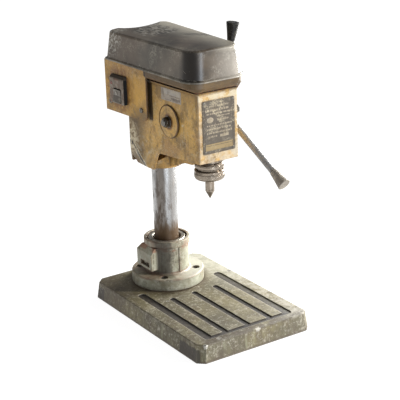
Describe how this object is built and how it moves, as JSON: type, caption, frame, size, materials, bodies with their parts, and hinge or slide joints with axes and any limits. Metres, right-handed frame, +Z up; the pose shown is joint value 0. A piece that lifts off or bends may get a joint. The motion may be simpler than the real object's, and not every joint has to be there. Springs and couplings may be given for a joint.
{
  "type": "bench drilling machine",
  "caption": "Small motor-driven bench drill with a slotted cast base, round column, belt-driven head and lever-operated quill feed.",
  "frame": {"origin": "middle of the base's underside, where it rests on the bench", "axes": "+Z up along the column, -Y towards the operator (the chuck's side), +X to the side with the feed levers"},
  "size_m": [0.242, 0.3844, 0.5383],
  "materials": {
    "base_paint": "satin",
    "socket_paint": "satin",
    "head_paint": "satin",
    "cover_paint": "satin",
    "ground_steel": "polished",
    "chuck_steel": "worn",
    "fastener_steel": "plated",
    "rod_steel": "worn",
    "black_plastic": "matte",
    "grey_plastic": "matte",
    "grip_plastic": "worn",
    "plate_metal": "printed",
    "label_film": "matte",
    "belt_rubber": "matte",
    "spring_steel": "blued",
    "motor_metal": "matte",
    "pulley_alloy": "turned",
    "lamp_glass": "gloss"
  },
  "bodies": {
    "stand": {"base_plate": "base_paint", "column_flange": "socket_paint", "flange_screws": "fastener_steel", "socket_collar": "socket_paint", "wiper_ring": "black_plastic", "socket_clamp_screw": "fastener_steel"},
    "post": {"column": "ground_steel"},
    "head": {"head_casting": "head_paint", "head_tray": "head_paint", "head_core": "head_paint", "head_lock_bolts": "fastener_steel", "oil_plug": "fastener_steel", "cable_gland": "black_plastic", "pulley_bearing": "fastener_steel", "motor_body": "motor_metal", "drive_belt": "belt_rubber", "cover_hinge_lower": "fastener_steel", "cover_hinge_pin": "fastener_steel", "spring_cap": "head_paint", "return_spring": "spring_steel", "switch_plate": "head_paint", "plate_screws": "fastener_steel", "switch_body": "black_plastic", "switch_lamp": "lamp_glass", "data_plate": "plate_metal", "plate_rivets": "fastener_steel", "side_label": "label_film"},
    "cover": {"belt_cover": "cover_paint", "cover_hinge_upper": "fastener_steel"},
    "switch": {"switch_rocker": "grey_plastic"},
    "feed": {"pinion_shaft": "ground_steel", "spring_nut": "fastener_steel", "feed_hub": "rod_steel", "feed_lever_1": "rod_steel", "feed_lever_2": "rod_steel", "feed_lever_3": "rod_steel", "lever_grip_1": "grip_plastic", "lever_grip_2": "grip_plastic", "lever_grip_3": "grip_plastic"},
    "quill_slide": {"quill": "ground_steel", "quill_collar": "chuck_steel", "quill_bearing_lower": "fastener_steel", "quill_bearing_upper": "fastener_steel"},
    "spindle_drive": {"spindle": "ground_steel", "chuck_body": "chuck_steel"},
    "chuck_ring": {"chuck_sleeve": "chuck_steel"},
    "jaw_a": {"chuck_jaw_1": "chuck_steel"},
    "jaw_b": {"chuck_jaw_2": "chuck_steel"},
    "jaw_c": {"chuck_jaw_3": "chuck_steel"},
    "motor_rotor": {"motor_shaft": "ground_steel", "motor_pulley": "pulley_alloy"},
    "driven_pulley": {"spindle_pulley": "pulley_alloy"}
  },
  "joints": [
    {"name": "column_turn", "type": "hinge", "parent": "stand", "child": "post", "pos_m": [0, 0.106, 0.121], "axis": [0, 0, 1], "range_deg": [-180, 180]},
    {"name": "head_height", "type": "slide", "parent": "post", "child": "head", "axis": [0, 0, 1], "range_m": [-0.08, 0.03]},
    {"name": "cover_lid", "type": "hinge", "parent": "head", "child": "cover", "pos_m": [0, 0.1942, 0.462], "axis": [-1, 0, 0], "range_deg": [0, 100]},
    {"name": "switch_rock", "type": "hinge", "parent": "head", "child": "switch", "pos_m": [-0.07326, 0.13422, 0.4019], "axis": [-0.0778, 0.997, 0], "range_deg": [0, 12]},
    {"name": "feed_turn", "type": "hinge", "parent": "head", "child": "feed", "pos_m": [0, 0.0044, 0.3768], "axis": [1, 0, 0], "range_deg": [0, 95.49], "stiffness_Nm_per_rad": 0.6, "springref_deg": -126.05},
    {"name": "quill_feed", "type": "slide", "parent": "head", "child": "quill_slide", "axis": [0, 0, -1], "range_m": [0, 0.05]},
    {"name": "motor_spin", "type": "hinge", "parent": "head", "child": "motor_rotor", "pos_m": [0, 0.155, 0.4], "axis": [0, 0, 1], "continuous": true},
    {"name": "pulley_spin", "type": "hinge", "parent": "head", "child": "driven_pulley", "pos_m": [0, -0.048, 0.45], "axis": [0, 0, 1], "continuous": true},
    {"name": "spindle_spin", "type": "hinge", "parent": "quill_slide", "child": "spindle_drive", "pos_m": [0, -0.048, 0.32], "axis": [0, 0, 1], "continuous": true},
    {"name": "chuck_grip", "type": "hinge", "parent": "spindle_drive", "child": "chuck_ring", "pos_m": [0, -0.048, 0.285], "axis": [0, 0, 1], "range_deg": [0, 270]},
    {"name": "jaw_a_travel", "type": "slide", "parent": "spindle_drive", "child": "jaw_a", "axis": [0.2962, 0.171, 0.9397], "range_m": [0, 0.01]},
    {"name": "jaw_b_travel", "type": "slide", "parent": "spindle_drive", "child": "jaw_b", "axis": [-0.2962, 0.171, 0.9397], "range_m": [0, 0.01]},
    {"name": "jaw_c_travel", "type": "slide", "parent": "spindle_drive", "child": "jaw_c", "axis": [0, -0.342, 0.9397], "range_m": [0, 0.01]}
  ],
  "couplings": [
    {"joint": "feed_turn", "follows": "quill_feed", "rad_per_m": 33.333},
    {"joint": "pulley_spin", "follows": "motor_spin", "ratio": 0.62069},
    {"joint": "spindle_spin", "follows": "motor_spin", "ratio": 0.62069},
    {"joint": "chuck_grip", "follows": "jaw_a_travel", "rad_per_m": 471.24},
    {"joint": "jaw_b_travel", "follows": "jaw_a_travel", "ratio": 1},
    {"joint": "jaw_c_travel", "follows": "jaw_a_travel", "ratio": 1}
  ]
}
